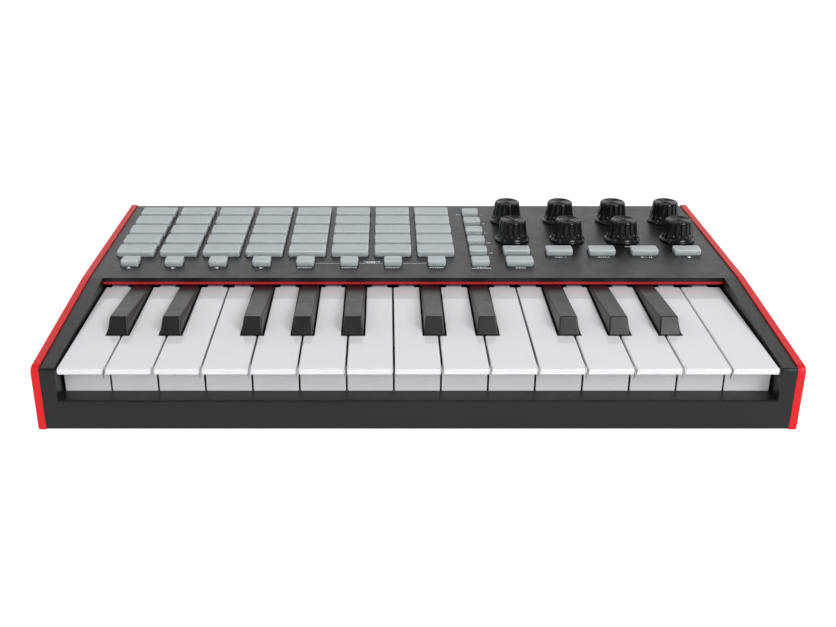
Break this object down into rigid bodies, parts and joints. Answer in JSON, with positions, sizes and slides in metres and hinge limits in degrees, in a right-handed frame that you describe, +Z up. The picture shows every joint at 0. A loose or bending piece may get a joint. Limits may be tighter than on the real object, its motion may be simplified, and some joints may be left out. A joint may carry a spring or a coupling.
{
  "type": "keyboard controller",
  "caption": "Compact keyboard controller: short sprung keys in a sloped case, a grid of press pads, rows of small buttons, rotary knobs and two rear sockets.",
  "frame": {"origin": "middle of the footprint, on the surface the rubber feet stand on", "axes": "+X to the player's right along the keys, +Y from the player to the rear, +Z up out of the control panel"},
  "size_m": [0.3116, 0.1948, 0.0453],
  "materials": {
    "case_plastic": "fine moulded texture, satin",
    "floor_plastic": "fine moulded texture",
    "side_plastic": "satin red",
    "felt": "red felt",
    "white_key_plastic": "semi-gloss white",
    "black_key_plastic": "satin black",
    "cap_rubber": "translucent pale grey silicone, satin",
    "knob_plastic": "gloss black",
    "foot_rubber": "matt",
    "screw_steel": "black zinc",
    "rod_steel": "ground",
    "frame_plastic": "moulded",
    "circuit_board": "green solder mask",
    "socket_metal": "plated",
    "socket_plastic": "moulded"
  },
  "bodies": {
    "chassis": {"top_case": "case_plastic", "bottom_case": "floor_plastic", "left_side_panel": "side_plastic", "right_side_panel": "side_plastic", "felt_strip": "felt", "case_screws": "screw_steel", "rubber_feet": "foot_rubber", "keybed_frame": "frame_plastic", "key_hinge_rod": "rod_steel", "key_contact_board": "circuit_board", "main_circuit_board": "circuit_board", "pot_bodies": "socket_metal", "usb_port": "socket_metal", "sustain_jack": "socket_plastic"},
    "white_key_01": {"white_key_01": "white_key_plastic"},
    "white_key_02": {"white_key_02": "white_key_plastic"},
    "white_key_03": {"white_key_03": "white_key_plastic"},
    "white_key_04": {"white_key_04": "white_key_plastic"},
    "white_key_05": {"white_key_05": "white_key_plastic"},
    "white_key_06": {"white_key_06": "white_key_plastic"},
    "white_key_07": {"white_key_07": "white_key_plastic"},
    "white_key_08": {"white_key_08": "white_key_plastic"},
    "white_key_09": {"white_key_09": "white_key_plastic"},
    "white_key_10": {"white_key_10": "white_key_plastic"},
    "white_key_11": {"white_key_11": "white_key_plastic"},
    "white_key_12": {"white_key_12": "white_key_plastic"},
    "white_key_13": {"white_key_13": "white_key_plastic"},
    "white_key_14": {"white_key_14": "white_key_plastic"},
    "white_key_15": {"white_key_15": "white_key_plastic"},
    "black_key_01": {"black_key_01": "black_key_plastic"},
    "black_key_02": {"black_key_02": "black_key_plastic"},
    "black_key_03": {"black_key_03": "black_key_plastic"},
    "black_key_04": {"black_key_04": "black_key_plastic"},
    "black_key_05": {"black_key_05": "black_key_plastic"},
    "black_key_06": {"black_key_06": "black_key_plastic"},
    "black_key_07": {"black_key_07": "black_key_plastic"},
    "black_key_08": {"black_key_08": "black_key_plastic"},
    "black_key_09": {"black_key_09": "black_key_plastic"},
    "black_key_10": {"black_key_10": "black_key_plastic"},
    "pad_row_1": {"pad_row_1": "cap_rubber"},
    "pad_row_2": {"pad_row_2": "cap_rubber"},
    "pad_row_3": {"pad_row_3": "cap_rubber"},
    "pad_row_4": {"pad_row_4": "cap_rubber"},
    "pad_row_5": {"pad_row_5": "cap_rubber"},
    "track_buttons": {"track_buttons": "cap_rubber"},
    "scene_buttons": {"scene_buttons": "cap_rubber"},
    "shift_button": {"shift_button": "cap_rubber"},
    "sustain_button": {"sustain_button": "cap_rubber"},
    "octave_down_button": {"octave_down_button": "cap_rubber"},
    "octave_up_button": {"octave_up_button": "cap_rubber"},
    "play_button": {"play_button": "cap_rubber"},
    "record_button": {"record_button": "cap_rubber"},
    "knob_1": {"knob_1": "knob_plastic"},
    "knob_2": {"knob_2": "knob_plastic"},
    "knob_3": {"knob_3": "knob_plastic"},
    "knob_4": {"knob_4": "knob_plastic"},
    "knob_5": {"knob_5": "knob_plastic"},
    "knob_6": {"knob_6": "knob_plastic"},
    "knob_7": {"knob_7": "knob_plastic"},
    "knob_8": {"knob_8": "knob_plastic"}
  },
  "joints": [
    {"name": "white_key_01_pivot", "type": "hinge", "parent": "chassis", "child": "white_key_01", "pos_m": [0, -0.00537, 0.0235], "axis": [1, 0, 0], "range_deg": [0, 2.3], "stiffness_Nm_per_rad": 0.5, "springref_deg": -3.44},
    {"name": "white_key_02_pivot", "type": "hinge", "parent": "chassis", "child": "white_key_02", "pos_m": [0, -0.00537, 0.0235], "axis": [1, 0, 0], "range_deg": [0, 2.3], "stiffness_Nm_per_rad": 0.5, "springref_deg": -3.44},
    {"name": "white_key_03_pivot", "type": "hinge", "parent": "chassis", "child": "white_key_03", "pos_m": [0, -0.00537, 0.0235], "axis": [1, 0, 0], "range_deg": [0, 2.3], "stiffness_Nm_per_rad": 0.5, "springref_deg": -3.44},
    {"name": "white_key_04_pivot", "type": "hinge", "parent": "chassis", "child": "white_key_04", "pos_m": [0, -0.00537, 0.0235], "axis": [1, 0, 0], "range_deg": [0, 2.3], "stiffness_Nm_per_rad": 0.5, "springref_deg": -3.44},
    {"name": "white_key_05_pivot", "type": "hinge", "parent": "chassis", "child": "white_key_05", "pos_m": [0, -0.00537, 0.0235], "axis": [1, 0, 0], "range_deg": [0, 2.3], "stiffness_Nm_per_rad": 0.5, "springref_deg": -3.44},
    {"name": "white_key_06_pivot", "type": "hinge", "parent": "chassis", "child": "white_key_06", "pos_m": [0, -0.00537, 0.0235], "axis": [1, 0, 0], "range_deg": [0, 2.3], "stiffness_Nm_per_rad": 0.5, "springref_deg": -3.44},
    {"name": "white_key_07_pivot", "type": "hinge", "parent": "chassis", "child": "white_key_07", "pos_m": [0, -0.00537, 0.0235], "axis": [1, 0, 0], "range_deg": [0, 2.3], "stiffness_Nm_per_rad": 0.5, "springref_deg": -3.44},
    {"name": "white_key_08_pivot", "type": "hinge", "parent": "chassis", "child": "white_key_08", "pos_m": [0, -0.00537, 0.0235], "axis": [1, 0, 0], "range_deg": [0, 2.3], "stiffness_Nm_per_rad": 0.5, "springref_deg": -3.44},
    {"name": "white_key_09_pivot", "type": "hinge", "parent": "chassis", "child": "white_key_09", "pos_m": [0, -0.00537, 0.0235], "axis": [1, 0, 0], "range_deg": [0, 2.3], "stiffness_Nm_per_rad": 0.5, "springref_deg": -3.44},
    {"name": "white_key_10_pivot", "type": "hinge", "parent": "chassis", "child": "white_key_10", "pos_m": [0, -0.00537, 0.0235], "axis": [1, 0, 0], "range_deg": [0, 2.3], "stiffness_Nm_per_rad": 0.5, "springref_deg": -3.44},
    {"name": "white_key_11_pivot", "type": "hinge", "parent": "chassis", "child": "white_key_11", "pos_m": [0, -0.00537, 0.0235], "axis": [1, 0, 0], "range_deg": [0, 2.3], "stiffness_Nm_per_rad": 0.5, "springref_deg": -3.44},
    {"name": "white_key_12_pivot", "type": "hinge", "parent": "chassis", "child": "white_key_12", "pos_m": [0, -0.00537, 0.0235], "axis": [1, 0, 0], "range_deg": [0, 2.3], "stiffness_Nm_per_rad": 0.5, "springref_deg": -3.44},
    {"name": "white_key_13_pivot", "type": "hinge", "parent": "chassis", "child": "white_key_13", "pos_m": [0, -0.00537, 0.0235], "axis": [1, 0, 0], "range_deg": [0, 2.3], "stiffness_Nm_per_rad": 0.5, "springref_deg": -3.44},
    {"name": "white_key_14_pivot", "type": "hinge", "parent": "chassis", "child": "white_key_14", "pos_m": [0, -0.00537, 0.0235], "axis": [1, 0, 0], "range_deg": [0, 2.3], "stiffness_Nm_per_rad": 0.5, "springref_deg": -3.44},
    {"name": "white_key_15_pivot", "type": "hinge", "parent": "chassis", "child": "white_key_15", "pos_m": [0, -0.00537, 0.0235], "axis": [1, 0, 0], "range_deg": [0, 2.3], "stiffness_Nm_per_rad": 0.5, "springref_deg": -3.44},
    {"name": "black_key_01_pivot", "type": "hinge", "parent": "chassis", "child": "black_key_01", "pos_m": [0, -0.00537, 0.0235], "axis": [1, 0, 0], "range_deg": [0, 2.8], "stiffness_Nm_per_rad": 0.5, "springref_deg": -3.44},
    {"name": "black_key_02_pivot", "type": "hinge", "parent": "chassis", "child": "black_key_02", "pos_m": [0, -0.00537, 0.0235], "axis": [1, 0, 0], "range_deg": [0, 2.8], "stiffness_Nm_per_rad": 0.5, "springref_deg": -3.44},
    {"name": "black_key_03_pivot", "type": "hinge", "parent": "chassis", "child": "black_key_03", "pos_m": [0, -0.00537, 0.0235], "axis": [1, 0, 0], "range_deg": [0, 2.8], "stiffness_Nm_per_rad": 0.5, "springref_deg": -3.44},
    {"name": "black_key_04_pivot", "type": "hinge", "parent": "chassis", "child": "black_key_04", "pos_m": [0, -0.00537, 0.0235], "axis": [1, 0, 0], "range_deg": [0, 2.8], "stiffness_Nm_per_rad": 0.5, "springref_deg": -3.44},
    {"name": "black_key_05_pivot", "type": "hinge", "parent": "chassis", "child": "black_key_05", "pos_m": [0, -0.00537, 0.0235], "axis": [1, 0, 0], "range_deg": [0, 2.8], "stiffness_Nm_per_rad": 0.5, "springref_deg": -3.44},
    {"name": "black_key_06_pivot", "type": "hinge", "parent": "chassis", "child": "black_key_06", "pos_m": [0, -0.00537, 0.0235], "axis": [1, 0, 0], "range_deg": [0, 2.8], "stiffness_Nm_per_rad": 0.5, "springref_deg": -3.44},
    {"name": "black_key_07_pivot", "type": "hinge", "parent": "chassis", "child": "black_key_07", "pos_m": [0, -0.00537, 0.0235], "axis": [1, 0, 0], "range_deg": [0, 2.8], "stiffness_Nm_per_rad": 0.5, "springref_deg": -3.44},
    {"name": "black_key_08_pivot", "type": "hinge", "parent": "chassis", "child": "black_key_08", "pos_m": [0, -0.00537, 0.0235], "axis": [1, 0, 0], "range_deg": [0, 2.8], "stiffness_Nm_per_rad": 0.5, "springref_deg": -3.44},
    {"name": "black_key_09_pivot", "type": "hinge", "parent": "chassis", "child": "black_key_09", "pos_m": [0, -0.00537, 0.0235], "axis": [1, 0, 0], "range_deg": [0, 2.8], "stiffness_Nm_per_rad": 0.5, "springref_deg": -3.44},
    {"name": "black_key_10_pivot", "type": "hinge", "parent": "chassis", "child": "black_key_10", "pos_m": [0, -0.00537, 0.0235], "axis": [1, 0, 0], "range_deg": [0, 2.8], "stiffness_Nm_per_rad": 0.5, "springref_deg": -3.44},
    {"name": "pad_row_1_press", "type": "slide", "parent": "chassis", "child": "pad_row_1", "axis": [0, 0, -1], "range_m": [0, 0.001], "stiffness_N_per_m": 900, "springref_m": -0.0015},
    {"name": "pad_row_2_press", "type": "slide", "parent": "chassis", "child": "pad_row_2", "axis": [0, 0, -1], "range_m": [0, 0.001], "stiffness_N_per_m": 900, "springref_m": -0.0015},
    {"name": "pad_row_3_press", "type": "slide", "parent": "chassis", "child": "pad_row_3", "axis": [0, 0, -1], "range_m": [0, 0.001], "stiffness_N_per_m": 900, "springref_m": -0.0015},
    {"name": "pad_row_4_press", "type": "slide", "parent": "chassis", "child": "pad_row_4", "axis": [0, 0, -1], "range_m": [0, 0.001], "stiffness_N_per_m": 900, "springref_m": -0.0015},
    {"name": "pad_row_5_press", "type": "slide", "parent": "chassis", "child": "pad_row_5", "axis": [0, 0, -1], "range_m": [0, 0.001], "stiffness_N_per_m": 900, "springref_m": -0.0015},
    {"name": "track_buttons_press", "type": "slide", "parent": "chassis", "child": "track_buttons", "axis": [0, 0, -1], "range_m": [0, 0.001], "stiffness_N_per_m": 700, "springref_m": -0.0015},
    {"name": "scene_buttons_press", "type": "slide", "parent": "chassis", "child": "scene_buttons", "axis": [0, 0, -1], "range_m": [0, 0.001], "stiffness_N_per_m": 600, "springref_m": -0.0015},
    {"name": "shift_button_press", "type": "slide", "parent": "chassis", "child": "shift_button", "axis": [0, 0, -1], "range_m": [0, 0.001], "stiffness_N_per_m": 300, "springref_m": -0.0015},
    {"name": "sustain_button_press", "type": "slide", "parent": "chassis", "child": "sustain_button", "axis": [0, 0, -1], "range_m": [0, 0.001], "stiffness_N_per_m": 300, "springref_m": -0.0015},
    {"name": "octave_down_button_press", "type": "slide", "parent": "chassis", "child": "octave_down_button", "axis": [0, 0, -1], "range_m": [0, 0.001], "stiffness_N_per_m": 300, "springref_m": -0.0015},
    {"name": "octave_up_button_press", "type": "slide", "parent": "chassis", "child": "octave_up_button", "axis": [0, 0, -1], "range_m": [0, 0.001], "stiffness_N_per_m": 300, "springref_m": -0.0015},
    {"name": "play_button_press", "type": "slide", "parent": "chassis", "child": "play_button", "axis": [0, 0, -1], "range_m": [0, 0.001], "stiffness_N_per_m": 300, "springref_m": -0.0015},
    {"name": "record_button_press", "type": "slide", "parent": "chassis", "child": "record_button", "axis": [0, 0, -1], "range_m": [0, 0.001], "stiffness_N_per_m": 300, "springref_m": -0.0015},
    {"name": "knob_1_turn", "type": "hinge", "parent": "chassis", "child": "knob_1", "pos_m": [0.05192, 0.07043, 0.0343], "axis": [0, 0, 1], "range_deg": [0, 300]},
    {"name": "knob_2_turn", "type": "hinge", "parent": "chassis", "child": "knob_2", "pos_m": [0.08019, 0.07043, 0.0343], "axis": [0, 0, 1], "range_deg": [0, 300]},
    {"name": "knob_3_turn", "type": "hinge", "parent": "chassis", "child": "knob_3", "pos_m": [0.10847, 0.07043, 0.0343], "axis": [0, 0, 1], "range_deg": [0, 300]},
    {"name": "knob_4_turn", "type": "hinge", "parent": "chassis", "child": "knob_4", "pos_m": [0.13675, 0.07043, 0.0343], "axis": [0, 0, 1], "range_deg": [0, 300]},
    {"name": "knob_5_turn", "type": "hinge", "parent": "chassis", "child": "knob_5", "pos_m": [0.05192, 0.04083, 0.0343], "axis": [0, 0, 1], "range_deg": [0, 300]},
    {"name": "knob_6_turn", "type": "hinge", "parent": "chassis", "child": "knob_6", "pos_m": [0.08019, 0.04083, 0.0343], "axis": [0, 0, 1], "range_deg": [0, 300]},
    {"name": "knob_7_turn", "type": "hinge", "parent": "chassis", "child": "knob_7", "pos_m": [0.10847, 0.04083, 0.0343], "axis": [0, 0, 1], "range_deg": [0, 300]},
    {"name": "knob_8_turn", "type": "hinge", "parent": "chassis", "child": "knob_8", "pos_m": [0.13675, 0.04083, 0.0343], "axis": [0, 0, 1], "range_deg": [0, 300]}
  ]
}
